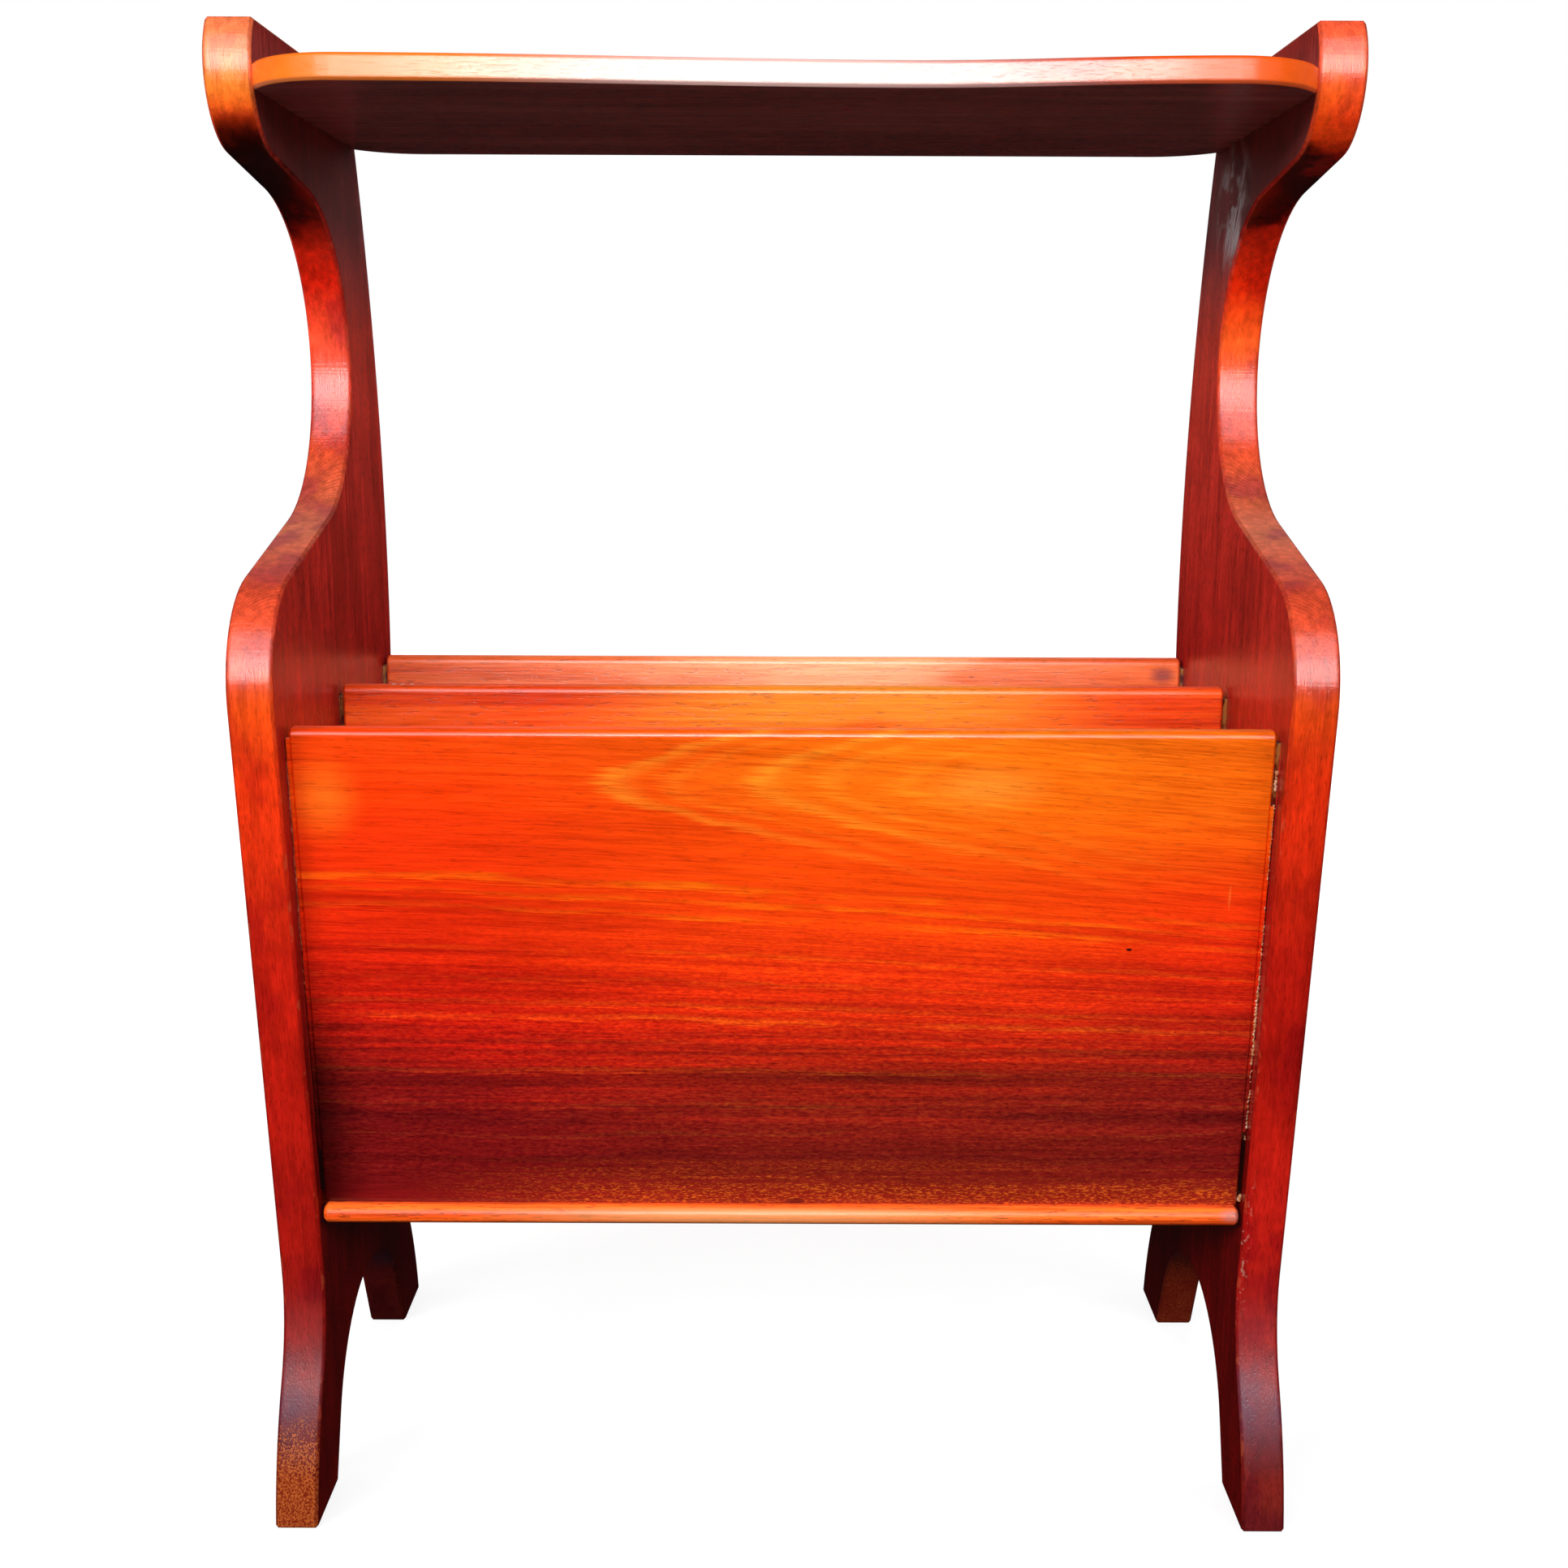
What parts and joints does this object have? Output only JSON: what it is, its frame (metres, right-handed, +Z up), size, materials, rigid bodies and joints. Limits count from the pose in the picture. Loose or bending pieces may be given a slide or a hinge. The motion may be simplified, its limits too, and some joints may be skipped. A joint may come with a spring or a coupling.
{
  "type": "magazine rack",
  "caption": "Free-standing wooden magazine rack: scroll-cut ends on splayed feet carry a top shelf and a leaning trough whose divider makes pockets for magazines.",
  "frame": {"origin": "on the floor, under the middle of the rack's width and depth", "axes": "+Z up, +X to the right of someone facing the front, the front faces -Y"},
  "size_m": [0.45, 0.2216, 0.6375],
  "materials": {
    "end_wood": "gloss varnish",
    "shelf_wood": "gloss varnish",
    "panel_wood": "gloss varnish",
    "bottom_wood": "gloss varnish",
    "dowel_wood": "unfinished"
  },
  "bodies": {
    "root": {"left_end": "end_wood", "right_end": "end_wood", "top_shelf": "shelf_wood", "front_panel": "panel_wood", "middle_divider": "panel_wood", "rear_panel": "panel_wood", "bottom_board": "bottom_wood", "left_shelf_dowels": "dowel_wood", "right_shelf_dowels": "dowel_wood"}
  },
  "joints": []
}
